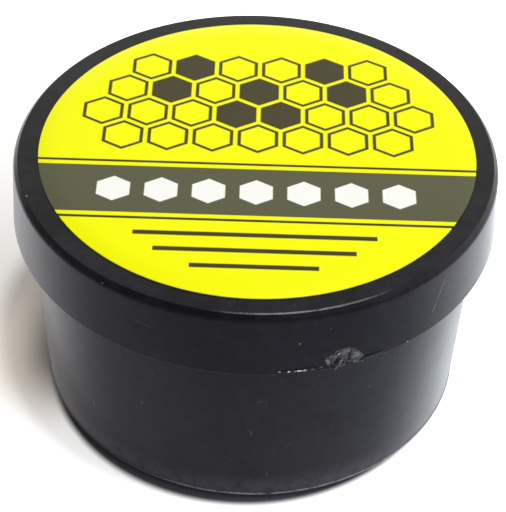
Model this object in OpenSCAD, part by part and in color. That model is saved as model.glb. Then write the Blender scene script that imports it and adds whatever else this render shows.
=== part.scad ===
// Small round jar of grease with a screw lid. A tapered cup carries a two-start thread on its neck,
// the smooth lid screws down over it onto a soft liner, and a round label covers the top of the lid.
// Millimetres, +Z up. The origin is the centre of the foot, on the surface that the jar stands on.

/* [Lid] */
// Outer diameter of the skirt at its lower edge
lid_d = 48.7; // [40:0.1:64]
// Height of the lid from the skirt's lower edge to its flat top
lid_h = 7.0; // [5.6:0.1:10]
// How much smaller the skirt's radius is at the top than at the lower edge
lid_draft = 0.35; // [0.1:0.05:0.6]
// Thickness of the skirt beside its thread, at the top
lid_wall = 0.9; // [0.7:0.05:1.6]
// Thickness of the top plate
lid_plate = 1.2; // [0.8:0.1:2]
// How far the bevel between top and skirt reaches in over the top
lid_bevel_w = 0.45; // [0.2:0.05:0.8]
// How far the bevel reaches down the skirt
lid_bevel_h = 0.55; // [0.3:0.05:1.2]
// Radius with which the bevel runs out into the skirt
lid_edge_r = 0.8; // [0.3:0.1:1.4]
// Radius of the crest between the flat top and the bevel
lid_crest_r = 0.15; // [0.05:0.05:0.3]
// Radius on the skirt's lower outer edge
lid_lip_r = 0.05; // [0.05:0.05:0.3]
// Height of the flared mouth at the skirt's lower edge
mouth_h = 0.8; // [0.4:0.1:1.2]
// How far the mouth opens past the bore, on the radius
mouth_flare = 0.5; // [0.2:0.1:0.6]

/* [Gate scar on the skirt] */
// Width of the torn scar at the skirt's lower edge
scar_w = 4.0; // [2:0.1:5]
// Depth of the scar into the skirt
scar_depth = 0.3; // [0.1:0.05:0.4]
// Place of the scar around the lid, counted from the front towards the right
scar_turn = 21; // [0:1:359]

/* [Label] */
// Width of the bare ring of lid around the label
label_margin = 2.35; // [1:0.05:6]
// Thickness of the label
label_t = 0.12; // [0.05:0.01:0.3]

/* [Liner] */
// Thickness of the soft sealing disc
liner_t = 1.0; // [0.5:0.1:2]
// Gap between the disc's edge and the lid's bore
liner_gap = 0.2; // [0.1:0.05:0.5]

/* [Jar] */
// Height from the foot to the rim that the liner seals on
jar_h = 25.05; // [18:0.05:60]
// How far the lid's lower edge stands out past the jar's wall
lid_overhang = 1.67; // [1.4:0.01:2.2]
// How much smaller the wall's radius is at the base than at the shoulder
jar_draft = 0.92; // [0:0.02:2]
// Thickness of the neck's wall at the rim
neck_wall = 1.0; // [0.8:0.05:2]
// How much smaller the inside radius is at the floor than at the rim
bore_draft = 0.8; // [0.2:0.05:1.5]
// Height of the shoulder above the lid's lower edge
shoulder_rise = 0.4; // [0.2:0.05:0.6]
// Radius of the shoulder's edge
shoulder_edge_r = 0.3; // [0.1:0.05:0.5]
// Radius of both edges of the rim
rim_edge_r = 0.25; // [0.1:0.05:0.4]
// Thickness of the floor
floor_t = 1.4; // [0.8:0.1:3]
// Radius of the corner between floor and wall inside
floor_r = 1.5; // [0.5:0.1:4]

/* [Foot] */
// Height of the foot ring under the base
foot_h = 0.6; // [0.3:0.05:1.5]
// Width of the foot ring
foot_w = 1.2; // [0.8:0.1:4]
// How far the ring stands in from the wall's lower edge
foot_inset = 1.15; // [0.5:0.05:4]
// Radius of the wall's lower edge
base_edge_r = 0.1; // [0.05:0.05:0.15]
// How far the bead along the wall's lower edge stands out
base_bead_w = 0.05; // [0.05:0.05:0.3]
// Height of the bead
base_bead_h = 0.25; // [0.2:0.05:0.6]
// Diameter of the moulding nub in the middle of the base
nub_d = 2.4; // [1:0.1:5]
// Height of the nub, less than the foot
nub_h = 0.25; // [0.1:0.05:0.3]

/* [Thread] */
// Number of ridges on the neck, and on the lid
thread_starts = 2; // [1:1:3]
// Rise of the lid in one turn
thread_lead = 4.0; // [3:0.1:6]
// Height of a ridge off its wall
thread_h = 0.7; // [0.5:0.05:0.9]
// Width of a ridge at its root
thread_root_w = 1.0; // [0.7:0.05:1.3]
// Width of a ridge at its crest
thread_crest_w = 0.45; // [0.2:0.05:0.7]
// Radial clearance between each crest and the wall it faces
thread_gap = 0.2; // [0.15:0.05:0.4]
// Bare neck left above the upper end of the ridges
thread_above = 0.4; // [0.2:0.1:1]
// Bare neck left below the lower end of the ridges
thread_below = 0.5; // [0.3:0.1:1]
// Clearance between the lid's ridges and the liner
thread_liner_gap = 0.25; // [0.1:0.05:1]
// Turn over which each end of a ridge fades out
thread_fade = 18; // [8:1:40]

/* [Grease] */
// Depth of the fill
grease_h = 18.2; // [5:0.1:40]
// How far the middle of the fill is dished below its edge
grease_dish = 0.5; // [0:0.1:2]
// Clearance between the fill and the jar's wall
grease_gap = 0.05; // [0.02:0.01:0.2]

/* [Hidden] */
$fn = 128;
arc_steps = 8;
ridge_step = 6;
ridge_bite = 0.3;
cut_past = 1;

lid_r = lid_d / 2;
lid_top_r = lid_r - lid_draft;
bore_r = lid_top_r - lid_wall;
lid_under_z = jar_h + liner_t;
lid_top_z = lid_under_z + lid_plate;
lid_low_z = lid_top_z - lid_h;
bevel_low_r = lid_top_r + lid_draft * lid_bevel_h / lid_h;
bevel_round = min(lid_edge_r, 1.2 * norm([lid_bevel_w, lid_bevel_h]));
mouth_r = bore_r + mouth_flare;
label_r = lid_top_r - label_margin;
liner_r = bore_r - liner_gap;

ridge_crest_r = bore_r - thread_gap;
neck_r = ridge_crest_r - thread_h;
lid_ridge_crest_r = bore_r - thread_h;
jar_r = lid_r - lid_overhang;
base_r = jar_r - jar_draft;
rim_in_r = neck_r - neck_wall;
floor_in_r = rim_in_r - bore_draft;
floor_z = foot_h + floor_t;
shoulder_z = lid_low_z + shoulder_rise;
shoulder_round = min(shoulder_edge_r, (jar_r - neck_r) * 0.6);
foot_out_r = base_r - foot_inset;
foot_in_r = foot_out_r - foot_w;
// How far the tapered wall has come out at the top of its bead
base_bead_rise = jar_draft * base_bead_h / (shoulder_z - foot_h);

// Heights of the ridges' middle lines at their lower ends, and how far each ridge runs round
thread_pitch = thread_lead / thread_starts;
neck_ridge_z = shoulder_z + thread_below + thread_root_w / 2;
neck_ridge_turn = (jar_h - thread_above - thread_root_w / 2 - neck_ridge_z) / thread_lead * 360;
lid_ridge_z = lid_low_z + mouth_h + thread_root_w / 2 + 0.05;
lid_ridge_turn = (jar_h - thread_liner_gap - thread_root_w / 2 - lid_ridge_z) / thread_lead * 360;
// The lid's ridges run midway between the neck's, so both are on helices half a pitch apart
lid_ridge_start = (lid_ridge_z + thread_pitch / 2 - neck_ridge_z) / thread_lead * 360;

function unit(v) = v / norm(v);

function xy(p) = [p[0], p[1]];

// Corner b between a and c as an arc of the given radius
function corner(a, b, c, rad) =
  rad <= 0 ? [b] :
  let (
    u = unit(a - b),
    w = unit(c - b),
    half = acos(u * w) / 2,
    p = b + u * rad / tan(half),
    q = b + w * rad / tan(half),
    mid = b + unit(u + w) * rad / sin(half),
    from = atan2(p[1] - mid[1], p[0] - mid[0]),
    turn = atan2(q[1] - mid[1], q[0] - mid[0]) - from,
    sweep = turn > 180 ? turn - 360 : turn < -180 ? turn + 360 : turn
  )
  [for (i = [0:arc_steps]) mid + rad * [cos(from + sweep * i / arc_steps), sin(from + sweep * i / arc_steps)]];

// Outline whose points are radius, height and corner radius
function outline(pts) =
  let (n = len(pts))
  [for (i = [0:n - 1]) each corner(xy(pts[(i + n - 1) % n]), xy(pts[i]), xy(pts[(i + 1) % n]), pts[i][2])];

function fade(t, turn) = min(1, max(0.08, min(t, turn - t) / thread_fade));

// One thread ridge: a trapezoid swept up a right-hand helix, rooted in the wall at root_r
module ridge(root_r, inward, z, start, turn) {
  steps = max(2, ceil(turn / ridge_step));
  deep_r = root_r + (inward ? ridge_bite : -ridge_bite);
  function ring(t) =
    let (
      a = start + t,
      up = z + thread_lead * t / 360,
      crest_r = root_r + (inward ? -1 : 1) * thread_h * fade(t, turn),
      in_r = inward ? crest_r : deep_r,
      out_r = inward ? deep_r : crest_r,
      in_w = inward ? thread_crest_w : thread_root_w,
      out_w = inward ? thread_root_w : thread_crest_w
    )
    [for (p = [[in_r, -in_w], [out_r, -out_w], [out_r, out_w], [in_r, in_w]])
      [p[0] * cos(a), p[0] * sin(a), up + p[1] / 2]];
  points = [for (i = [0:steps]) each ring(turn * i / steps)];
  last = 4 * steps;
  faces = concat(
    [[0, 3, 2], [0, 2, 1], [last, last + 1, last + 2], [last, last + 2, last + 3]],
    [for (i = [0:steps - 1]) for (k = [0:3])
      let (a = 4 * i + k, b = 4 * i + (k + 1) % 4, c = 4 * i + 4 + (k + 1) % 4, d = 4 * i + 4 + k)
      each [[a, b, c], [a, c, d]]]
  );
  polyhedron(points = points, faces = faces, convexity = 6);
}

module ridges(root_r, inward, z, start, turn) {
  for (i = [0:thread_starts - 1])
    ridge(root_r, inward, z, start + 360 * i / thread_starts, turn);
}

module jar_body() {
  color([0.07, 0.07, 0.075]) {
    rotate_extrude()
      polygon(outline([
        [0, foot_h - nub_h, 0],
        [nub_d / 2, foot_h - nub_h, 0],
        [nub_d / 2, foot_h, 0],
        [foot_in_r, foot_h, 0],
        [foot_in_r, 0, 0.15],
        [foot_out_r, 0, 0.15],
        [foot_out_r, foot_h, 0],
        [base_r + base_bead_w, foot_h, base_edge_r],
        [base_r + base_bead_w, foot_h + base_bead_h, base_bead_w * 0.8],
        [base_r + base_bead_rise, foot_h + base_bead_h, 0],
        [jar_r, shoulder_z, shoulder_round],
        [neck_r, shoulder_z, 0],
        [neck_r, jar_h, rim_edge_r],
        [rim_in_r, jar_h, rim_edge_r],
        [floor_in_r, floor_z, floor_r],
        [0, floor_z, 0]
      ]));
    ridges(neck_r, false, neck_ridge_z, 0, neck_ridge_turn);
  }
}

// The fill takes the shape of the inside of the jar, a little clear of its wall
module grease_fill() {
  fill_z = floor_z + grease_h;
  fill_r = floor_in_r + bore_draft * grease_h / (jar_h - floor_z) - grease_gap;
  color([0.16, 0.16, 0.17])
    rotate_extrude()
      polygon(outline([
        [0, floor_z, 0],
        [floor_in_r - grease_gap, floor_z, floor_r + grease_gap],
        [fill_r, fill_z, 0],
        [fill_r * 0.8, fill_z - grease_dish * 0.3, 3],
        [fill_r * 0.35, fill_z - grease_dish, 3],
        [0, fill_z - grease_dish, 0]
      ]));
}

module sealing_liner() {
  color([0.86, 0.86, 0.83])
    translate([0, 0, jar_h])
      cylinder(r = liner_r, h = liner_t);
}

module screw_lid() {
  color([0.07, 0.07, 0.075])
    difference() {
      union() {
        rotate_extrude()
          polygon(outline([
            [0, lid_under_z, 0],
            [bore_r, lid_under_z, 0.15],
            [bore_r, lid_low_z + mouth_h, 0],
            [mouth_r, lid_low_z, 0],
            [lid_r, lid_low_z, lid_lip_r],
            [bevel_low_r, lid_top_z - lid_bevel_h, bevel_round],
            [lid_top_r - lid_bevel_w, lid_top_z, lid_crest_r],
            [0, lid_top_z, 0]
          ]));
        ridges(bore_r, true, lid_ridge_z, lid_ridge_start, lid_ridge_turn);
      }
      gate_scar();
    }
}

// Half-round bite out of the skirt's lower edge, where the moulding gate was torn off
module gate_scar() {
  rotate([0, 0, scar_turn - 90])
    translate([lid_r - scar_depth, 0, lid_low_z])
      rotate([0, 90, 0])
        cylinder(d = scar_w, h = scar_depth + cut_past);
}

module lid_label() {
  color([0.98, 0.95, 0.06])
    translate([0, 0, lid_top_z])
      cylinder(r = label_r, h = label_t);
}

jar_body();
grease_fill();
sealing_liner();
screw_lid();
lid_label();
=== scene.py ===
import math

import bmesh
import bpy
from mathutils import Matrix, Vector, noise


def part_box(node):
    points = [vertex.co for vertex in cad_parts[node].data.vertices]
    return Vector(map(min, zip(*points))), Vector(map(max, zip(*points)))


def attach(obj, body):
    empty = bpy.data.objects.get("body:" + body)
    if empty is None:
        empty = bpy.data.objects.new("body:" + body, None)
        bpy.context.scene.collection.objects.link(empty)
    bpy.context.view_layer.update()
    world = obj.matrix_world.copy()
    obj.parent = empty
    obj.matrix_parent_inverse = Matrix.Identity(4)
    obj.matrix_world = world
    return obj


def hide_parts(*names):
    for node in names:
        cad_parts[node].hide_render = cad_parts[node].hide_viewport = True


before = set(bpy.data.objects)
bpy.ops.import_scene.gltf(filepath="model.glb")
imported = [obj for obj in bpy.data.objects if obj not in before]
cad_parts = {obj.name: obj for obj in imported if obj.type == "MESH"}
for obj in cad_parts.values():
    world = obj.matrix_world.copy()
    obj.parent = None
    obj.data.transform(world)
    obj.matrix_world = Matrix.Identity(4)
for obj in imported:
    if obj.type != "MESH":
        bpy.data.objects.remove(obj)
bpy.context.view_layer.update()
mm = 0.001
white = (1, 1, 1, 1)
print("frame loaded:", sorted(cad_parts))

# sizes that the pieces share, read off the frame
lidLow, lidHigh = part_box("screw_lid")
labelLow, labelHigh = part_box("lid_label")
fillLow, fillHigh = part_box("grease_fill")
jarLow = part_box("jar_body")[0]
lidRadius = lidHigh.x          # skirt's lower edge
labelRadius = labelHigh.x
fillRadius = fillHigh.x
skirtSlope = 0.05              # the skirt leans in by this much per mm of height


# shader wiring

class Wire:                    # one output socket that can be added, multiplied and so on
    def __init__(self, tree, socket=None):
        self.tree = tree
        self.socket = socket

    def node(self, kind, settings=None, inputs=None, out=0):
        made = self.tree.nodes.new(kind)
        for key, value in (settings or {}).items():
            if key == "stops":
                fillRamp(made.color_ramp, value)
            else:
                setattr(made, key, value)
        for key, value in (inputs or {}).items():
            plug(self.tree, made.inputs[key], value)
        return Wire(self.tree, made.outputs[out])

    def also(self, out):       # another output of the same node
        return Wire(self.tree, self.socket.node.outputs[out])

    def calc(self, operation, *values):
        return self.node("ShaderNodeMath", {"operation": operation}, dict(enumerate(values)))

    def __add__(self, other):
        return self.calc("ADD", self, other)

    def __sub__(self, other):
        return self.calc("SUBTRACT", self, other)

    def __rsub__(self, other):
        return self.calc("SUBTRACT", other, self)

    def __mul__(self, other):
        return self.calc("MULTIPLY", self, other)

    def __truediv__(self, other):
        return self.calc("DIVIDE", self, other)

    def __mod__(self, other):
        return self.calc("FLOORED_MODULO", self, other)

    def __pow__(self, other):
        return self.calc("POWER", self, other)

    def __abs__(self):
        return self.calc("ABSOLUTE", self)

    __radd__ = __add__
    __rmul__ = __mul__


def plug(tree, socket, value):
    if isinstance(value, Wire):
        tree.links.new(value.socket, socket)
    else:
        socket.default_value = value


def fillRamp(ramp, stops):
    while len(ramp.elements) < len(stops):
        ramp.elements.new(1)
    for element, (place, color) in zip(ramp.elements, stops):
        element.position = place
        element.color = color


def paint(red, green, blue):   # a colour as seen on screen, 0 to 255
    def linear(c):
        c = c / 255
        return c / 12.92 if c <= 0.04045 else ((c + 0.055) / 1.055) ** 2.4
    return (linear(red), linear(green), linear(blue), 1)


def least(a, b):
    return a.calc("MINIMUM", a, b)


def most(a, b):
    return a.calc("MAXIMUM", a, b)


def ease(value, low, high):    # 0 below low, 1 above high, smooth between
    return value.node("ShaderNodeMapRange", {"interpolation_type": "SMOOTHSTEP"},
                      {"Value": value, "From Min": low, "From Max": high})


def tint(mask, under, over):
    return mask.node("ShaderNodeMix", {"data_type": "RGBA"}, {0: mask, 6: under, 7: over}, out=2)


def startMaterial(name):
    material = bpy.data.materials.new(name)
    material.use_nodes = True
    shader = material.node_tree.nodes["Principled BSDF"]
    return material, Wire(material.node_tree), shader


def feed(material, shader, values):
    for key, value in values.items():
        plug(material.node_tree, shader.inputs[key], value)


def placeInMm(wire):           # the point on the object, in millimetres
    spot = wire.node("ShaderNodeTexCoord", out="Object")
    return wire.node("ShaderNodeVectorMath", {"operation": "SCALE"}, {0: spot, "Scale": 1 / mm})


def parts(vector):
    x = vector.node("ShaderNodeSeparateXYZ", {}, {0: vector})
    return x, x.also("Y"), x.also("Z")


def join(x, y):
    return x.node("ShaderNodeCombineXYZ", {}, {"X": x, "Y": y})


def length(vector):
    return vector.node("ShaderNodeVectorMath", {"operation": "LENGTH"}, {0: vector}, out="Value")


def unroll(spot):              # degrees from the front towards the right, radius and height
    x, y, z = parts(spot)
    turn = x.calc("ARCTAN2", x, y * -1) * (180 / math.pi)
    return turn, (x * x + y * y) ** 0.5, z


def speckle(spot, perMm, detail=2.0, rough=0.5):
    return spot.node("ShaderNodeTexNoise", {},
                     {"Vector": spot, "Scale": perMm, "Detail": detail, "Roughness": rough})


def bumps(wire, height, strength, reach=1.0):   # reach in mm
    return wire.node("ShaderNodeBump", {}, {"Strength": strength, "Distance": reach * mm, "Height": height})


# meshes

def clamp(value):
    return min(1, max(0, value))


def addObject(name, bm, body, material):
    mesh = bpy.data.meshes.new(name)
    bm.normal_update()
    bm.to_mesh(mesh)
    bm.free()
    mesh.polygons.foreach_set("use_smooth", [True] * len(mesh.polygons))
    made = bpy.data.objects.new(name, mesh)
    bpy.context.scene.collection.objects.link(made)
    made.data.materials.append(material)
    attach(made, body)
    return made


def spin(profile, steps, shape):
    # closed lathe of (radius, height) points, first and last on the axis; shape moves each point
    bm = bmesh.new()
    rings = []
    for radius, height in profile:
        count = 1 if radius == 0 else steps
        ring = []
        for i in range(count):
            turn = 2 * math.pi * i / steps
            point = Vector((radius * math.cos(turn), radius * math.sin(turn), height))
            ring.append(bm.verts.new(shape(point)))
        rings.append(ring)
    for low, high in zip(rings, rings[1:]):
        for i in range(steps):
            j = (i + 1) % steps
            corners = [low[i % len(low)], low[j % len(low)], high[j % len(high)], high[i % len(high)]]
            bm.faces.new(list(dict.fromkeys(corners)))
    bmesh.ops.recalc_face_normals(bm, faces=bm.faces)
    return bm


def closeSheet(front, back):
    # solid between two grids of points that lie one behind the other
    bm = bmesh.new()
    sides = [[[bm.verts.new(point) for point in row] for row in grid] for grid in (front, back)]
    for grid in sides:
        for low, high in zip(grid, grid[1:]):
            for i in range(len(low) - 1):
                bm.faces.new((low[i], low[i + 1], high[i + 1], high[i]))
    rims = []
    for grid in sides:
        right = [row[-1] for row in grid[1:-1]]
        left = [row[0] for row in grid[1:-1]]
        rims.append(grid[0] + right + grid[-1][::-1] + left[::-1])
    count = len(rims[0])
    for i in range(count):
        j = (i + 1) % count
        bm.faces.new((rims[0][i], rims[0][j], rims[1][j], rims[1][i]))
    bmesh.ops.recalc_face_normals(bm, faces=bm.faces)
    return bm


def onLid(turn, radius, height):   # turn in degrees from the front towards the right, sizes in mm
    angle = math.radians(turn)
    return Vector((radius * math.sin(angle), -radius * math.cos(angle), height)) * mm


# black moulded plastic of the jar and the lid; scales are per mm, sizes in mm
# a value called ends holds where a mask starts to change and where it is done

plasticLook = {
    "dark": paint(8, 7, 12),
    "grey": paint(23, 22, 28),
    "greyEnds": (0.4, 0.6),
    "roughness": 0.34,
    "specularTint": (0.83, 0.79, 1, 1),
    "coatRoughness": 0.3,
    "coatShares": (0.7, 0.6),  # of the coat that is everywhere, and that comes in patches
    "sheenRoughness": 0.25,
    "sheenTint": (0.94, 0.93, 1, 1),
    # noise, as its scale, detail and roughness
    "patches": (0.45, 4, 0.6),
    "cloud": (0.12, 3),
    "mottle": (0.9, 4, 0.65),
    "grain": (6.0, 2, 0.6),
    "ripple": (0.3, 1),
    # noise drawn out up the wall, as its scale around the wall and up it, and detail
    "streak": (1.6, 0.12, 3),
    "rub": (5, 0.22, 2),
    "rubEnds": (0.62, 0.8),
    "rubStrength": 0.06,
    "dustScale": 0.5,          # net of cells, a few of which hold a speck
    "dustStretch": 1.4,        # how much closer they lie around the wall
    "dustShare": (0.86, 0.9),
    "dustEnds": (0.02, 0.05),
    "dustRagged": 0.06,
    "dustStrength": 0.2,
    "markCore": 0.4,           # part of a mark's size that is fully pale
    "scratchEnds": (0.02, 0.09),
    "scratchTips": (0.4, 0.5), # from its middle, as parts of its length
    "scratchWaver": 0.1,
    "scratchGaps": (0.3, 0.55),
    "edgeGaps": (0.6, 1.2),
    "paintedBandGaps": (0.2, 0.6),
    "outside": (21.0, 21.5),   # radius from where the edge line and its band are drawn, which keeps the inside clean
    "roughBy": {"cloud": 0.12, "mottle": 0.12, "streak": 0.1, "wearAndPaintedLight": 0.3},
    "raisedBy": {"grain": 0.01, "mottle": 0.03, "ripple": 0.06, "wearAndPaintedLight": 0.06},
    "bump": 0.4,
}

jarLook = {
    **plasticLook,
    "name": "jarPlastic",
    "wearAndPaintedLight": paint(162, 157, 173),
    "specular": 0.125,
    "glance": 1.0,             # gloss that comes up where the surface turns away
    "glanceEnds": (0.49, 0.9),
    "bloom": 0.55,             # pale film that shows where it turns away
    "girth": 22.2,             # radius where the marks are
    "rim": 21.7,               # and where the wall ends
    # turn, height, size and strength
    "marks": [(5.3, 3.8, 0.12, 0.35), (0.6, 1.95, 0.35, 0.12), (31.0, 14.0, 0.1, 0.3),
              (-63, 13, 0.12, 0.3), (118, 8, 0.2, 0.3), (171, 15, 0.15, 0.4), (-140, 5, 0.25, 0.3)],
    # turn and height of both ends, and strength
    "scratches": [(-44.9, 7.3, -44.5, 6.4, 0.5), (-28.1, 11.55, -27.6, 11.15, 0.35),
                  (-27.6, 11.15, -27.0, 11.35, 0.25), (1.6, 14.3, 2.6, 14.75, 0.25),
                  (2.6, 14.75, 3.3, 14.7, 0.2), (-0.3, 10.5, 0.7, 10.45, 0.2),
                  (0.7, 10.45, 1.1, 9.8, 0.25), (-0.4, 1.7, 0.6, 2.3, 0.25),
                  (0.6, 2.3, 1.8, 1.8, 0.2), (12, 8.5, 9.5, 7.9, 0.1), (-20, 15.5, -25, 16.1, 0.1),
                  (150, 12, 143, 16, 0.25), (-120, 6, -112, 9, 0.2)],
    "edge": 0.72,              # height of the pale line along the lower edge, wear with a painted highlight
    "edgeWearAndHighlight": 1.0,
    "edgeEnds": (0.1, 0.2),    # from its middle to where it fades and ends
    "paintedBandShare": 0.14,          # share of painted light in a soft band around the line
    "paintedBandEnds": (0.4, 3.4),
    "edgeRun": (20, 34, 52),   # turn of its middle, half length of the full line, and of its faded ends
}

lidLook = {
    **plasticLook,
    "name": "lidPlastic",
    "wearAndPaintedLight": paint(150, 148, 150),
    "specular": 0.115,
    "glance": 0.4,
    "glanceEnds": (0.4, 0.72),
    "bloom": 1.0,
    "girth": 24.2,
    "rim": 24.0,
    "marks": [(10.7, 23.85, 0.16, 0.5), (-34.8, 26.9, 0.14, 0.35), (-69.5, 27.9, 0.18, 0.4),
              (17.5, 25.2, 0.1, 0.25), (-12, 22.6, 0.1, 0.2), (95, 24.5, 0.2, 0.3),
              (-125, 22.5, 0.2, 0.3), (160, 25.5, 0.15, 0.3)],
    "scratches": [(48.3, 25.5, 44.4, 22.1, 0.5), (50.2, 24.2, 48.2, 23.7, 0.2),
                  (-27, 24.4, -22, 24.0, 0.15), (-108, 25.0, -101, 22.6, 0.25),
                  (133, 24.0, 141, 23.2, 0.25)],
    "edge": 27.7,              # along the crest of the top edge, a painted highlight where the lamp's light falls
    "edgeWearAndHighlight": 0.8,
    "edgeEnds": (0.05, 0.15),
    "paintedBandShare": 0.0,           # no band there
    "paintedBandEnds": (0.1, 0.8),
    "edgeRun": (12, 5, 24),
}


def satin(look, wire):         # gloss of the black plastic
    facing = wire.node("ShaderNodeLayerWeight", out="Facing")
    everywhere, patchy = look["coatShares"]
    patches = everywhere + speckle(placeInMm(wire), *look["patches"]) * patchy
    return {
        "Specular IOR Level": look["specular"],
        "Specular Tint": look["specularTint"],
        "Coat Weight": ease(facing, *look["glanceEnds"]) * patches * look["glance"],
        "Coat Roughness": look["coatRoughness"],
        "Sheen Weight": look["bloom"],
        "Sheen Roughness": look["sheenRoughness"],
        "Sheen Tint": look["sheenTint"],
    }


def mouldedPlastic(look):
    material, wire, shader = startMaterial(look["name"])
    spot = placeInMm(wire)
    turn, radius, height = unroll(spot)
    girth = look["girth"]
    along = turn * (girth * math.pi / 180)
    # height on the wall, and on over the rim towards the axis
    depth = height + most(look["rim"] - radius, 0)

    def drawnOut(around, up, detail):
        return speckle(join(along * around, height * up), 1.0, detail)

    cloud = speckle(spot, *look["cloud"])
    mottle = speckle(spot, *look["mottle"])
    grain = speckle(spot, *look["grain"])
    ripple = speckle(spot, *look["ripple"])
    streak = drawnOut(*look["streak"])
    rub = drawnOut(*look["rub"])

    # specks of dust
    unrolled = join(along * look["dustStretch"], height - radius)
    cells = wire.node("ShaderNodeTexVoronoi", {"voronoi_dimensions": "2D"},
                      {"Vector": unrolled, "Scale": look["dustScale"]})
    pick, weigh = parts(cells.also("Color"))[::2]
    dust = 1 - ease(cells + (grain - 0.5) * look["dustRagged"], *look["dustEnds"])
    wearAndPaintedLight = dust * ease(pick, *look["dustShare"]) * weigh * look["dustStrength"]

    # single marks and scratches
    for markTurn, markHeight, size, strength in look["marks"]:
        reach = length(join(along - math.radians(markTurn) * girth, depth - markHeight))
        mark = 1 - ease(reach + (mottle - 0.5) * size, size * look["markCore"], size)
        wearAndPaintedLight = most(wearAndPaintedLight, mark * strength)
    for fromTurn, fromHeight, toTurn, toHeight, strength in look["scratches"]:
        start = Vector((math.radians(fromTurn) * girth, fromHeight))
        run = Vector((math.radians(toTurn) * girth, toHeight)) - start
        step = run.normalized()
        far = (along - start.x) * step.x + (depth - start.y) * step.y
        aside = (along - start.x) * -step.y + (depth - start.y) * step.x
        aside = abs(aside + (mottle - 0.5) * look["scratchWaver"])
        tips = [run.length * share for share in look["scratchTips"]]
        line = (1 - ease(aside, *look["scratchEnds"])) * (1 - ease(abs(far - run.length / 2), *tips))
        wearAndPaintedLight = most(wearAndPaintedLight, line * strength * ease(streak, *look["scratchGaps"]))

    # pale line along an edge, painted highlight with some wear, and a band of painted light around it
    runMiddle, runFull, runEnd = look["edgeRun"]
    fromEdge = abs(depth - look["edge"])
    line = (1 - ease(fromEdge, *look["edgeEnds"])) * ease(mottle + grain, *look["edgeGaps"])
    line = line * look["edgeWearAndHighlight"] * (1 - ease(abs(turn - runMiddle), runFull, runEnd))
    paintedBand = (1 - ease(fromEdge, *look["paintedBandEnds"])) * ease(mottle, *look["paintedBandGaps"]) * look["paintedBandShare"]
    wearAndPaintedLight = most(wearAndPaintedLight, most(line, paintedBand) * ease(radius, *look["outside"]))

    color = tint(ease(cloud * 0.5 + mottle * 0.5, *look["greyEnds"]), look["dark"], look["grey"])
    rubbed = ease(rub, *look["rubEnds"]) * ease(cloud, *look["greyEnds"])
    color = tint(most(wearAndPaintedLight, rubbed * look["rubStrength"]), color, look["wearAndPaintedLight"])
    roughBy = look["roughBy"]
    rough = look["roughness"] + (cloud - 0.5) * roughBy["cloud"] + (mottle - 0.5) * roughBy["mottle"]
    rough = rough + (streak - 0.5) * roughBy["streak"] + wearAndPaintedLight * roughBy["wearAndPaintedLight"]
    raisedBy = look["raisedBy"]
    relief = grain * raisedBy["grain"] + mottle * raisedBy["mottle"]
    relief = relief + ripple * raisedBy["ripple"] + wearAndPaintedLight * raisedBy["wearAndPaintedLight"]
    feed(material, shader, {
        "Base Color": color,
        "Roughness": rough,
        "Normal": bumps(wire, relief, look["bump"]),
        **satin(look, wire),
    })
    return material


def dress(node, material):
    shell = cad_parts[node]
    shell.data.materials.clear()
    shell.data.materials.append(material)


dress("jar_body", mouldedPlastic(jarLook))
dress("screw_lid", mouldedPlastic(lidLook))
print("jar and lid dressed in black plastic")


# torn plastic where the lid's moulding gate was broken off, and the flash beside it with painted glints;
# one run of it is a dark strip that stands for the shade under the lid's edge, with a painted highlight
# below

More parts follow.
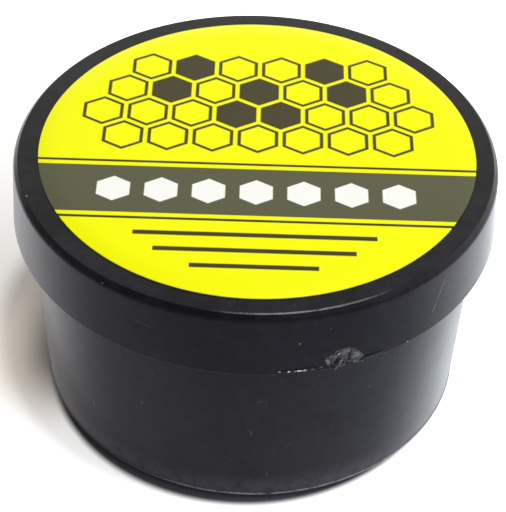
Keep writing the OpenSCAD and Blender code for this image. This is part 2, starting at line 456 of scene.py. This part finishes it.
scarLook = {
    "turn": 21.7,              # degrees right of the front
    # across is counted from there and up from the lid's lower edge, in mm
    "across": (-2.5, 2.1),
    "up": (-0.45, 2.45),
    "columns": 100,
    "rows": 64,
    "bend": 24.3,              # radius that across is bent around
    "back": 23.85,             # radius of its back, inside the skirt
    "backLow": (0.1, 0.1),     # height of its back's lowest rows, and share of their spacing that is left
    "hang": 0.03,              # share of its fall below the edge that the untorn part keeps
    "notch": (-0.3, 2.0),      # middle and radius of the lid's notch that it fills
    "notchEdge": (0.05, 0.06), # how far the filling goes beyond it, and how softly it ends
    "outline": [(-2.22, 1.2), (-2.1, 1.58), (-1.76, 1.68), (-1.4, 1.98), (-1.19, 2.1), (-0.66, 2.2),
                (0.02, 2.24), (0.68, 1.95), (1.21, 1.44), (1.72, 0.73), (1.45, 0.5), (1.3, 0.1),
                (0.73, 0.05), (-0.02, 0.1), (-0.4, -0.12), (-0.94, -0.3), (-1.24, -0.34), (-1.6, 0.1),
                (-2.02, 0.55)],
    "outlineSoft": 0.14,
    "outlineRagged": 0.8,
    "raggedScale": 1.3,        # against the grit's
    "raggedLayer": 5,          # keeps it apart from the grit
    # across, up, half length, half width, lean in degrees, height and paleness of each lump (or pit); the
    # palest one, at -0.84, 1.58, is a painted glint, and the pits are painted dark as shade in them
    "lumps": [(-1.97, 0.9, 0.4, 0.16, 117, 0.14, 0.75), (-1.4, 0.97, 0.18, 0.07, 95, 0.06, 0.45),
              (-1.23, 1.35, 0.16, 0.12, 60, 0.08, 0.6), (-1.64, 1.5, 0.16, 0.12, 45, 0.06, 0.35),
              (-0.84, 1.58, 0.15, 0.05, 35, 0.08, 1.8), (-0.32, 1.63, 0.5, 0.38, 20, 0.05, 0.45),
              (0.03, 2.0, 0.5, 0.14, -5, 0.05, 0.25), (1.0, 1.04, 0.75, 0.5, -45, 0.05, 0.55),
              (0.62, 0.84, 0.2, 0.15, 0, 0.04, 0.2), (1.6, 0.75, 0.16, 0.12, -45, 0.05, 0.3),
              (0.8, 0.18, 0.36, 0.08, -12, 0.07, 0.6), (-0.64, 0.61, 0.24, 0.09, 70, 0.1, 0.75),
              (-0.75, 0.22, 0.2, 0.09, 75, 0.05, 0.4), (0.21, 0.88, 0.14, 0.1, 90, 0.03, 0.25),
              (-1.3, -0.1, 0.3, 0.2, -60, 0.12, -0.2), (-0.92, 1.85, 0.16, 0.08, 5, -0.08, -0.5),
              (-1.09, 0.74, 0.34, 0.2, 70, -0.16, -0.5), (0.22, 1.1, 0.5, 0.13, 84, -0.16, -0.5),
              (0.05, 0.64, 0.12, 0.08, 0, -0.08, -0.5), (-0.44, 0.44, 0.1, 0.1, 0, -0.1, -0.6),
              (-0.02, 0.31, 0.12, 0.08, 0, -0.1, -0.5), (1.42, 0.82, 0.06, 0.05, 0, -0.03, -0.3),
              (-1.6, 0.4, 0.2, 0.12, -60, -0.1, -0.4)],
    "deep": 0.08,              # how far its mean surface lies under the skirt's
    "deepest": -0.26,
    "lowest": 0.02,            # least height where it lies on the skirt, beside the notch
    "untorn": (0.005, -0.08, -0.2),   # height of the rest over the notch, beside it and below the edge
    "gritScale": 3.1,          # fine lumps
    "gritNoise": (0.8, 2.1, 4),    # fall of height per octave, step of scale, and octaves
    "gritHeight": 0.05,
    "gritPale": 0.2,
    "pale": 0.22,              # paleness between the lumps
    "palest": 1.6,
    "fibre": (7.0, 3, 0.7),
    "fibreShade": (0.7, 0.6),  # least shade, and what the fibre adds
    "tornEnds": (0.02, 0.2),   # paleness from where it counts as torn
    "tornRough": 0.15,
    "bump": 0.6,
    "bumpReach": 0.2,
    # colours along the paleness; the white end is the painted glint
    "stops": [(0, paint(11, 10, 15)), (0.3, paint(84, 84, 88)), (0.6, paint(138, 138, 142)),
              (1, paint(250, 250, 250))],
}

flashAndPaintedLightLook = {
    # from and to in degrees, half height and place over the lower edge in mm, tone of the lower half (a
    # painted highlight); the second run is a dark strip put in the shade under the lid's edge
    "runs": [(5.8, 16.2, 0.16, 0.37, 0.25), (25.6, 31.0, 0.19, 0.34, 0.35), (36.7, 37.4, 0.1, 0.24, 0.3)],
    # painted glints: turn, half width, strength
    "glints": [(6.5, 0.4, 0.7), (8.55, 0.36, 1.0), (9.9, 0.3, 0.6), (10.9, 0.75, 1.0), (12.1, 0.5, 0.8),
               (13.8, 0.4, 0.4), (15.7, 0.4, 0.5), (37.0, 0.35, 0.65)],
    "proud": 0.1,              # mm
    "sunk": 0.02,              # mm that its middle lies under the skirt
    "steps": 12,               # per degree, and the fewest of a run
    "sides": 10,
    "taper": 6,                # each end takes one part in so many of the run
    "endSize": 0.3,
    "waveScale": 2.3,          # per degree
    "waveLayer": 1.7,
    "waveSize": 0.5,
    "waveRise": 0.04,
    "fibre": (5.0, 2),
    "fibreSway": 0.1,
    "belowEnds": (-0.05, 0.03),    # mm from the middle's height
    "glintEnds": (0.04, 0.1),
    "glintRagged": 0.5,
    "glintCore": 0.5,
    "roughness": 0.75,
    "polish": 0.55,            # how much smoother the palest part is
    "specular": 0.2,
    "stops": [(0, paint(8, 8, 10)), (0.5, paint(110, 110, 114)), (1, paint(250, 250, 250))],
}


def tornPlastic(look):
    material, wire, shader = startMaterial("tornPlastic")
    fibre = speckle(placeInMm(wire), *look["fibre"])
    pale = wire.node("ShaderNodeAttribute", {"attribute_name": "pale"}, out="Fac")
    torn = ease(pale, *look["tornEnds"])
    leastShade, byFibre = look["fibreShade"]
    shade = pale * (leastShade + fibre * byFibre)
    feed(material, shader, {
        "Base Color": wire.node("ShaderNodeValToRGB", {"stops": look["stops"]}, {"Fac": shade}),
        "Roughness": lidLook["roughness"] + torn * look["tornRough"],
        "Normal": bumps(wire, fibre * torn, look["bump"], look["bumpReach"]),
        **satin(lidLook, wire),
    })
    return material


def insideOutline(corners, x, y):   # distance to the outline, below zero outside it
    nearest = math.inf
    crossings = 0
    for (x0, y0), (x1, y1) in zip(corners, corners[1:] + corners[:1]):
        share = ((x - x0) * (x1 - x0) + (y - y0) * (y1 - y0)) / ((x1 - x0) ** 2 + (y1 - y0) ** 2)
        share = clamp(share)
        nearest = min(nearest, math.hypot(x - x0 - share * (x1 - x0), y - y0 - share * (y1 - y0)))
        if (y0 > y) != (y1 > y) and x < x0 + (y - y0) / (y1 - y0) * (x1 - x0):
            crossings += 1
    return nearest if crossings % 2 else -nearest


def tornRelief(look, across, up):   # height over the skirt, paleness, and how far it is torn
    swell = 0
    pale = look["pale"]
    for x, y, half, wide, lean, lift, tone in look["lumps"]:
        bend = math.radians(lean)
        along = (across - x) * math.cos(bend) + (up - y) * math.sin(bend)
        aside = (up - y) * math.cos(bend) - (across - x) * math.sin(bend)
        weight = math.exp(-(along / half) ** 2 - (aside / wide) ** 2)
        swell += lift * weight
        pale += tone * weight
    spot = Vector((across * look["gritScale"], up * look["gritScale"], 0))
    rough = noise.fractal(spot, *look["gritNoise"])
    ragged = noise.noise(spot * look["raggedScale"] + Vector((0, 0, look["raggedLayer"])))
    inside = insideOutline(look["outline"], across, up)
    torn = clamp(0.5 + inside / look["outlineSoft"] + look["outlineRagged"] * ragged)
    notchMiddle, notchRadius = look["notch"]
    beyond, soft = look["notchEdge"]
    filling = clamp((notchRadius + beyond - math.hypot(across - notchMiddle, up)) / soft)
    height = max(look["deepest"], swell - look["deep"] + look["gritHeight"] * rough)
    height = height * filling + max(look["lowest"], height) * (1 - filling)
    overNotch, beside, below = look["untorn"]
    plain = overNotch * filling + beside * (1 - filling)
    if up < 0:
        plain = below
    pale = max(0, pale + look["gritPale"] * rough) * torn / look["palest"]
    return plain + (height - plain) * torn, pale, torn


def makeScar(look):
    lowEdge = lidLow.z / mm
    left, right = look["across"]
    bottom, top = look["up"]
    backStart, backShare = look["backLow"]
    front = []
    back = []
    tones = []
    for j in range(look["rows"] + 1):
        up = bottom + (top - bottom) * j / look["rows"]
        backUp = max(up, backStart + up * backShare)
        frontRow = []
        backRow = []
        for i in range(look["columns"] + 1):
            across = left + (right - left) * i / look["columns"]
            turn = look["turn"] + math.degrees(across / look["bend"])
            height, pale, torn = tornRelief(look, across, up)
            hang = look["hang"] + (1 - look["hang"]) * torn
            frontUp = up if up > 0 else up * hang   # only the torn part hangs below the edge
            frontRow.append(onLid(turn, lidRadius / mm - skirtSlope * up + height, lowEdge + frontUp))
            backRow.append(onLid(turn, look["back"], lowEdge + backUp))
            tones.append(pale)
        front.append(frontRow)
        back.append(backRow)
    scar = addObject("gate_scar", closeSheet(front, back), "lid", tornPlastic(look))
    shades = scar.data.attributes.new("pale", "FLOAT", "POINT")
    shades.data.foreach_set("value", tones + [0.0] * len(tones))


def flashPlasticWithPaintedLight(look, middle, tone):
    # dark above, which on the second run stands for painted shadow; paler below the middle as a painted
    # highlight, with painted glints
    material, wire, shader = startMaterial("flashPlasticWithPaintedLight")
    spot = placeInMm(wire)
    turn, height = unroll(spot)[::2]
    fibre = speckle(spot, *look["fibre"])
    level = height + (fibre - 0.5) * look["fibreSway"]
    below = 1 - ease(level, *[middle + end for end in look["belowEnds"]])
    lit = 1 - ease(level, *[middle + end for end in look["glintEnds"]])
    pale = below * (fibre * tone)
    for glintTurn, half, strength in look["glints"]:
        off = abs(turn - glintTurn) + (fibre - 0.5) * look["glintRagged"]
        glint = 1 - ease(off, half * look["glintCore"], half)
        pale = most(pale, glint * lit * strength)
    feed(material, shader, {
        "Base Color": wire.node("ShaderNodeValToRGB", {"stops": look["stops"]}, {"Fac": pale}),
        "Roughness": look["roughness"] - pale * look["polish"],
        "Specular IOR Level": look["specular"],
    })
    return material


def makeFlashAndPaintedLight(look):
    sides = look["sides"]
    for number, (start, end, half, rise, tone) in enumerate(look["runs"]):
        steps = max(look["steps"], int((end - start) * look["steps"]))
        middle = lidLow.z / mm + rise
        skirt = lidRadius / mm - skirtSlope * rise
        bm = bmesh.new()
        loops = []
        for i in range(steps + 1):
            turn = start + (end - start) * i / steps
            taper = min(1, look["taper"] * i / steps, look["taper"] * (steps - i) / steps)
            wave = noise.noise(Vector((turn * look["waveScale"], look["waveLayer"], 0)))
            size = (look["endSize"] + (1 - look["endSize"]) * taper) * (1 + look["waveSize"] * wave)
            loop = []
            for k in range(sides):
                bend = 2 * math.pi * k / sides
                out = skirt - look["sunk"] + look["proud"] * size * math.cos(bend)
                up = middle + look["waveRise"] * wave + half * size * math.sin(bend)
                loop.append(bm.verts.new(onLid(turn, out, up)))
            loops.append(loop)
        for low, high in zip(loops, loops[1:]):
            for k in range(sides):
                j = (k + 1) % sides
                bm.faces.new((low[k], low[j], high[j], high[k]))
        bm.faces.new(loops[0])
        bm.faces.new(loops[-1])
        bmesh.ops.recalc_face_normals(bm, faces=bm.faces)
        addObject(f"lid_flash_and_painted_light_{number + 1}", bm, "lid", flashPlasticWithPaintedLight(look, middle, tone))


makeScar(scarLook)
makeFlashAndPaintedLight(flashAndPaintedLightLook)
print("gate scar and flash on the lid")


# sealing disc in the lid

linerLook = {
    "foam": paint(226, 225, 218),
    "shade": paint(205, 203, 192),
    "pressed": paint(176, 174, 164),
    "pressedTint": 0.6,
    "pressedDepth": 2,         # against the height of a foam cell
    "pressedGloss": 0.2,
    "rimEnds": (21.2, 22.2),   # mm, ring that the jar's rim has pressed into the disc
    "rimSoft": (0.1, 0.15),    # how softly it starts and ends, outside and inside its edges
    "cellScale": 3.5,
    "cloud": (0.2, 2),
    "roughness": 0.85,
    "bump": 0.5,
    "bumpReach": 0.1,
}


def linerFoam(look):
    material, wire, shader = startMaterial("linerFoam")
    spot = placeInMm(wire)
    radius = unroll(spot)[1]
    cells = spot.node("ShaderNodeTexVoronoi", {"feature": "F1"},
                      {"Vector": spot, "Scale": look["cellScale"]})
    cloud = speckle(spot, *look["cloud"])
    inner, outer = look["rimEnds"]
    before, after = look["rimSoft"]
    pressed = ease(radius, inner - before, inner + after)
    pressed = pressed * (1 - ease(radius, outer - after, outer + before))
    foam = tint(cloud, look["shade"], look["foam"])
    feed(material, shader, {
        "Base Color": tint(pressed * look["pressedTint"], foam, look["pressed"]),
        "Roughness": look["roughness"] - pressed * look["pressedGloss"],
        "Normal": bumps(wire, cells - pressed * look["pressedDepth"], look["bump"], look["bumpReach"]),
    })
    return material


dress("sealing_liner", linerFoam(linerLook))
print("liner dressed in foam")


# round label on the lid; all sizes in mm, y towards the back

labelLook = {
    "yellow": paint(250, 250, 0),
    "ink": paint(56, 48, 18),
    "olive": paint(86, 85, 62),
    "white": paint(250, 250, 244),
    "soft": 0.06,              # how softly the ink ends
    "bandLow": -10.2,
    "bandHigh": -3.2,
    "ruleGap": 0.55,           # between the band and the rule along it
    "ruleWidth": 0.35,
    "chainCell": 3.2,          # row of hexagons in the band
    "chainPitch": 4.6,
    "chainReach": 16.5,
    "netCell": 4.5,            # hexagons above the band
    "netLine": 0.34,
    "netGap": 0.22,
    "netLow": 1.7,             # height of the lowest row's middle
    "netHigh": 15,
    "netRadius": 18,
    "netSlack": 0.5,           # how far off a hexagon's middle may be to count as that one
    # middle and row of the dark ones
    "filled": [(-2.25, 1), (2.25, 1), (0, 2), (-9, 2), (9, 2), (-6.75, 3), (6.75, 3)],
    "lines": [(-13.0, 11.5), (-15.2, 9.5), (-17.4, 6.0)],   # height and half length of the plain rules
    "lineWidth": 0.6,
    "steps": 256,
    "rings": (0.9, 0.75, 0.5, 0.25),   # of the flat top, as parts of its radius
    "edgeRound": 0.04,
    "edgeMiddle": 0.3,         # part of that rounding where its middle corner lies
    "stuckOff": (0.12, 0),     # label's middle from the lid's
    "fibre": (3.0, 4, 0.6),
    "fibreRough": 0.1,
    "bump": 0.15,
    "bumpReach": 0.05,
    "roughness": 0.4,
    "specular": 0.14,
}


def hexReach(x, y):            # distance from a hexagon's middle to its flats
    return most(abs(x), abs(x) * 0.5 + abs(y) * (math.sqrt(3) / 2))


def printedLabel(look):
    material, wire, shader = startMaterial("printedLabel")
    spot = placeInMm(wire)
    x, y = parts(spot)[:2]
    x = x - look["stuckOff"][0]
    y = y - look["stuckOff"][1]
    slack = look["netSlack"]

    def inked(distance):       # 1 where the distance is below zero
        return 1 - ease(distance, -look["soft"], look["soft"])

    def strip(low, high):
        return inked(abs(y - (low + high) / 2) - (high - low) / 2)

    # hexagons in rows, every second row shifted by half a cell
    stepX = look["netCell"]
    stepY = look["netCell"] * math.sqrt(3)
    rowY = y - look["netLow"]
    evenX = (x + stepX / 2) % stepX - stepX / 2
    evenY = (rowY + stepY / 2) % stepY - stepY / 2
    oddX = x % stepX - stepX / 2
    oddY = rowY % stepY - stepY / 2
    evenReach = hexReach(evenX, evenY)
    oddReach = hexReach(oddX, oddY)
    inOdd = evenReach.calc("GREATER_THAN", evenReach, oddReach)
    middleX = x - (evenX + (oddX - evenX) * inOdd)
    middleY = y - (evenY + (oddY - evenY) * inOdd)
    reach = least(evenReach, oddReach)
    outline = stepX / 2 - look["netGap"] - look["netLine"] / 2
    net = inked(abs(reach - outline) - look["netLine"] / 2)
    for fillX, row in look["filled"]:
        away = most(abs(middleX - fillX), abs(middleY - look["netLow"] - row * stepY / 2))
        net = most(net, inked(reach - outline) * inked(away - slack))
    net = net * inked((middleX * middleX + middleY * middleY) ** 0.5 - look["netRadius"])
    net = net * inked(look["netLow"] - slack - middleY) * inked(middleY - look["netHigh"])

    # band with its chain of hexagons, and a rule along each side
    band = strip(look["bandLow"], look["bandHigh"])
    middle = (look["bandLow"] + look["bandHigh"]) / 2
    half = (look["bandHigh"] - look["bandLow"]) / 2 + look["ruleGap"] + look["ruleWidth"] / 2
    rules = inked(abs(abs(y - middle) - half) - look["ruleWidth"] / 2)
    alongChain = (x + look["chainPitch"] / 2) % look["chainPitch"] - look["chainPitch"] / 2
    chain = inked(hexReach(alongChain, y - middle) - look["chainCell"] / 2)
    chain = chain * inked(abs(x) - look["chainReach"])
    for height, halfLength in look["lines"]:
        line = strip(height - look["lineWidth"] / 2, height + look["lineWidth"] / 2)
        rules = most(rules, line * inked(abs(x) - halfLength))

    color = tint(most(rules, net), look["yellow"], look["ink"])
    color = tint(band, color, look["olive"])
    color = tint(chain, color, look["white"])
    fibre = speckle(spot, *look["fibre"])
    feed(material, shader, {
        "Base Color": color,
        "Roughness": look["roughness"] + (fibre - 0.5) * look["fibreRough"],
        "Normal": bumps(wire, fibre, look["bump"], look["bumpReach"]),
        "Specular IOR Level": look["specular"],
    })
    return material


def makeLabel(look):
    low = labelLow.z
    high = labelHigh.z
    lip = look["edgeRound"] * mm
    corner = lip * look["edgeMiddle"]
    shift = Vector((*look["stuckOff"], 0)) * mm
    profile = [(0, low), (labelRadius, low), (labelRadius, high - lip)]
    profile += [(labelRadius - corner, high - corner), (labelRadius - lip, high)]
    profile += [(labelRadius * share, high) for share in look["rings"]]
    profile += [(0, high)]
    disc = spin(profile, look["steps"], lambda point: point + shift)
    label = addObject("lid_label_print", disc, "lid", printedLabel(look))
    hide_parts("lid_label")


makeLabel(labelLook)
print("label printed")


# grease in the jar; all sizes in mm

greaseLook = {
    "dark": paint(38, 38, 38),
    "pale": paint(70, 70, 72), # its flakes
    "flake": (9.0, 1),
    "flakeEnds": (0.6, 0.75),
    "cloud": (0.4, 4),
    "cloudRough": 0.2,
    "roughness": 0.3,
    "bump": 0.4,
    "bumpReach": 0.3,
    "rings": 40,
    "steps": 180,
    "skin": 1.5,               # how far below the top it is stirred
    "swirlHeight": 0.35,
    "swirlTurns": 3.0,
    "swirlShare": 0.6,
    "lumpShare": 0.7,
    "lumpScale": 160,          # per metre
    "lumpNoise": (1.0, 2.0, 3),
    "calmWall": 6,             # the swirl fades within one part in so many of the radius
    "calmMiddle": 5,
    "clearOfWall": 0.05,
    "floorIn": 0.7,            # how much narrower it is above the jar's floor
    # from there inwards and up, for the rounding at the floor
    "floorRound": [(1.5, 0), (0.4, 0.5), (0, 1.6)],
    "lip": 0.2,                # how far below the top it leaves the wall
}


def greasePaste(look):
    material, wire, shader = startMaterial("greasePaste")
    spot = placeInMm(wire)
    cloud = speckle(spot, *look["cloud"])
    flake = speckle(spot, *look["flake"])
    feed(material, shader, {
        "Base Color": tint(ease(flake, *look["flakeEnds"]), look["dark"], look["pale"]),
        "Roughness": look["roughness"] + (cloud - 0.5) * look["cloudRough"],
        "Normal": bumps(wire, cloud, look["bump"], look["bumpReach"]),
    })
    return material


def makeGrease(look):
    floorZ = fillLow.z
    topZ = fillHigh.z
    swirlHeight = look["swirlHeight"] * mm

    def stir(point):
        if point.z < topZ - look["skin"] * mm:
            return point
        turn = math.atan2(point.y, point.x)
        share = math.hypot(point.x, point.y) / fillRadius
        swirl = math.sin(turn + share * look["swirlTurns"] * 2 * math.pi)
        lumps = noise.fractal(point * look["lumpScale"], *look["lumpNoise"])
        calm = min(1, (1 - share) * look["calmWall"])
        waves = swirl * look["swirlShare"] + lumps * look["lumpShare"]
        lift = swirlHeight * waves * calm * min(1, share * look["calmMiddle"])
        return point + Vector((0, 0, lift - swirlHeight))

    inset = look["clearOfWall"] * mm
    floorRadius = fillRadius - look["floorIn"] * mm
    rings = look["rings"]
    profile = [(0, floorZ)]
    profile += [(floorRadius - inwards * mm, floorZ + up * mm) for inwards, up in look["floorRound"]]
    profile += [(fillRadius - inset, topZ - look["lip"] * mm)]
    profile += [(fillRadius * (1 - i / rings) - inset, topZ) for i in range(1, rings)]
    profile += [(0, topZ)]
    paste = spin(profile, look["steps"], stir)
    grease = addObject("grease_fill_stirred", paste, "jar", greasePaste(look))
    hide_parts("grease_fill")


makeGrease(greaseLook)
print("grease filled in")


# camera where the photograph was taken from

cameraView = {
    "imageHeight": 512,        # pixels, the longer side
    "focalPixels": 1800,
    "sensor": 36,              # mm
    "nearest": 0.01,           # metres
    "distance": 178.82,        # mm from the middle of the lid's top
    "elevation": 38.41,        # degrees, of the line from there to the camera
    "tiltDown": 3.37,          # degrees that the camera looks below that line
    "roll": 1.79,
}


def makeCamera(view):
    camera = bpy.data.objects.new("camera", bpy.data.cameras.new("camera"))
    bpy.context.scene.collection.objects.link(camera)
    camera.data.sensor_width = view["sensor"]
    camera.data.lens = view["focalPixels"] * view["sensor"] / view["imageHeight"]
    camera.data.clip_start = view["nearest"]
    rise = math.radians(view["elevation"])
    aim = Vector((0, 0, lidHigh.z))
    place = aim + Vector((0, -math.cos(rise), math.sin(rise))) * view["distance"] * mm
    tilt = math.radians(90 - view["elevation"] - view["tiltDown"])
    turn = Matrix.Rotation(tilt, 4, "X") @ Matrix.Rotation(math.radians(view["roll"]), 4, "Z")
    camera.matrix_world = Matrix.Translation(place) @ turn
    bpy.context.scene.camera = camera


makeCamera(cameraView)
print("camera set")


# floor and light, with light and shadow painted on the floor; places on the floor are in mm from the jar's
# axis

stageLook = {
    "floor": (0.8, 0.8, 0.8, 1),
    "floorSeen": white,        # for the camera and in reflections
    "floorSize": 4.0,          # metres
    "floorGap": 0.02,          # mm that it lies below the foot
    "floorRoughness": 0.9,
    "footPaintedShadow": (0.075, 0.076, 0.09, 1),   # painted shadow under the wall's lower edge
    "footMiddle": (-0.7, -1.95),   # middle of the painted shadow at the foot
    "footEnds": (20.1, 21.1),
    # faint light that the floor gives off where no painted light is added, as in the painted shadow at the
    # foot
    "footGlow": (0.01, 0.01, 0.013, 1),
    "glow": 0.62,              # painted light: white that the floor gives off outside that shadow
    "leftGlow": 0.39,          # and in the long shadow on the left, painted over the lamps' own shadow there
    "leftGlowEnds": (20.8, 26.5),
    "leftWay": (-0.946, 0.326),    # where that shadow points
    "leftEnds": (0.56, 0.92),  # cosine to that way, where it starts and is full
    "leftBackEnds": (-2, 12),  # it is darker towards the back
    "leftBackDark": 0.6,
    # warm tint painted into the long shadow on the left
    "leftShadowTint": (1.0, 0.88, 0.76, 1),
    # what reflections show of the floor
    "mirroredGlow": (0.22, 0.5),   # near the jar on the left, where it is dimmed as painted shade, and elsewhere
    "mirroredLeft": (0.5, 0.95),   # cosine to the left, where that part starts and is full
    "mirroredEnds": (28, 44),
    "mirroredShade": (0.97, 0.94, 0.98, 1),   # painted shade at the foot on the left, as reflections show it
    "shadeEnds": (24, 34),
    "mirroredColor": (0.93, 0.93, 1.0, 1),
    "mirroredRight": (0.89, 0.94, 1.0, 1),
    "rightEnds": (4, 22),
    # room around the jar; ends count along the view's direction, whose length is 1
    "roomColor": (1.0, 0.85, 0.68, 1),
    "roomDark": 0.03,          # in front and to the left
    "roomLevel": 0.23,         # overhead, behind and to the right
    "roomTurn": 0.5,           # how far the bright half is turned to the right
    "roomEnds": (-0.35, 0.05),
    "windowTurn": 75,          # large soft window, in degrees from the front towards the right
    "windowRise": 50,
    "windowEnds": (20, 45),    # degrees from its middle to where it fades and ends
    "windowLevel": 1.85,
    "windowColor": (0.93, 0.98, 1.0, 1),
    # what reflections show of the room
    "backdropColor": (1.0, 1.0, 0.86, 1),
    "backdropLevel": (0.06, 2.1),  # overhead, and low behind the jar
    "backdropEnds": (0.2, 0.8),
    "backdropTop": (0.54, 0.66),
    "mirroredDark": 0.52,      # in the dark part of the room
    "horizon": (-0.2, 0.3, 0.9),   # added to that low on the left, in front and on the right
    "horizonLeft": (-0.9, -0.3),
    "horizonRight": (0.4, 0.9),
    "horizonTop": (0.05, 0.5),
    "lampColor": (0.95, 0.98, 1.0),
    "lamps": {                 # metres and watts
        "overhead": {"place": (0.064, -0.076, 0.62), "size": (0.07, 0.07), "power": 1.42},
        "strip": {"place": (0.06, 0.27, 0.62), "size": (0.035, 0.46), "power": 0.35},
    },
}


def paleFloor(look):
    material, wire, shader = startMaterial("paleFloor")
    camera = wire.node("ShaderNodeLightPath", out="Is Camera Ray")
    mirrored = camera.also("Is Glossy Ray")
    x, y = parts(placeInMm(wire))[:2]
    fromJar = (x * x + y * y) ** 0.5

    # painted light for the camera; less of it in the painted shadow at the foot (clear is 1 outside it) and
    # in the long shadow on the left
    footX, footY = look["footMiddle"]
    wayX, wayY = look["leftWay"]
    clear = ease(((x - footX) ** 2 + (y - footY) ** 2) ** 0.5, *look["footEnds"])
    left = ease((x * wayX + y * wayY) / fromJar, *look["leftEnds"])
    leftGlow = ease(fromJar, *look["leftGlowEnds"]) * look["leftGlow"]
    leftGlow = leftGlow * (1 - ease(y, *look["leftBackEnds"]) * look["leftBackDark"])
    glow = clear * look["glow"] + left * (leftGlow - clear * look["glow"])

    # painted light and colour that reflections show of the floor, dimmed at the foot on the left as painted
    # shade
    shaded = ease(x * -1 / fromJar, *look["mirroredLeft"])
    dimmed = shaded * (1 - ease(fromJar, *look["mirroredEnds"]))
    dimGlow, fullGlow = look["mirroredGlow"]
    glow = glow * camera + mirrored * (fullGlow + dimmed * (dimGlow - fullGlow))
    right = ease(x, *look["rightEnds"])
    glowColor = tint(left, white, look["leftShadowTint"])
    glowColor = tint(mirrored, glowColor, tint(right, look["mirroredColor"], look["mirroredRight"]))
    color = tint(most(camera, mirrored), look["floor"], look["floorSeen"])
    color = tint(mirrored * right, color, look["mirroredRight"])
    color = tint(mirrored * shaded * (1 - ease(fromJar, *look["shadeEnds"])), color, look["mirroredShade"])
    feed(material, shader, {
        # the painted shadow at the foot, seen by the camera only
        "Base Color": tint(camera * (1 - clear), color, look["footPaintedShadow"]),
        "Roughness": look["floorRoughness"],
        "Specular IOR Level": 0.0,
        "Emission Color": tint(glow, look["footGlow"], glowColor),
        "Emission Strength": 1.0,
    })
    return material


def makeFloor(look):
    bm = bmesh.new()
    bmesh.ops.create_grid(bm, x_segments=1, y_segments=1, size=look["floorSize"] / 2)
    mesh = bpy.data.meshes.new("floor")
    bm.to_mesh(mesh)
    bm.free()
    mesh.materials.append(paleFloor(look))
    floor = bpy.data.objects.new("floor", mesh)
    bpy.context.scene.collection.objects.link(floor)
    floor.location.z = jarLow.z - look["floorGap"] * mm


def makeRoom(look):
    world = bpy.data.worlds.new("studio")
    bpy.context.scene.world = world
    world.use_nodes = True
    wire = Wire(world.node_tree)
    background = world.node_tree.nodes["Background"]
    seen = wire.node("ShaderNodeLightPath", out="Is Camera Ray")
    mirrored = seen.also("Is Glossy Ray")
    side, back, rise = parts(wire.node("ShaderNodeTexCoord", out="Generated"))
    behind = back + side * look["roomTurn"]
    lit = ease(behind, *look["roomEnds"])
    room = look["roomDark"] + lit * (look["roomLevel"] - look["roomDark"])

    turn = math.radians(look["windowTurn"])
    up = math.radians(look["windowRise"])
    toWindow = Vector((math.sin(turn) * math.cos(up), -math.cos(turn) * math.cos(up), math.sin(up)))
    facing = side * toWindow.x + back * toWindow.y + rise * toWindow.z
    inner, outer = [math.cos(math.radians(angle)) for angle in look["windowEnds"]]
    window = ease(facing, outer, inner)

    above, low = look["backdropLevel"]
    backdrop = ease(behind, *look["backdropEnds"]) * (1 - ease(rise, *look["backdropTop"])) * low
    backdrop = lit * above + backdrop
    leftEnd, front, rightEnd = look["horizon"]
    horizon = leftEnd + ease(side, *look["horizonLeft"]) * (front - leftEnd)
    horizon = horizon + ease(side, *look["horizonRight"]) * (rightEnd - front)
    horizon = horizon * (1 - ease(rise, *look["horizonTop"]))
    dark = look["mirroredDark"] + horizon

    level = room + window * look["windowLevel"] + mirrored * (backdrop - room * lit + dark)
    color = tint(window, tint(mirrored, look["roomColor"], look["backdropColor"]), look["windowColor"])
    plug(world.node_tree, background.inputs["Color"], tint(seen, color, white))
    plug(world.node_tree, background.inputs["Strength"], level + seen * (1 - level))


def makeLamps(look):
    for name, lamp in look["lamps"].items():
        light = bpy.data.objects.new(name, bpy.data.lights.new(name, "AREA"))
        bpy.context.scene.collection.objects.link(light)
        light.data.shape = "ELLIPSE"
        light.data.size, light.data.size_y = lamp["size"]
        light.data.energy = lamp["power"]
        light.data.color = look["lampColor"]
        light.location = lamp["place"]


makeFloor(stageLook)
makeRoom(stageLook)
makeLamps(stageLook)
bpy.context.scene.view_settings.view_transform = "Standard"
print("floor and light set")
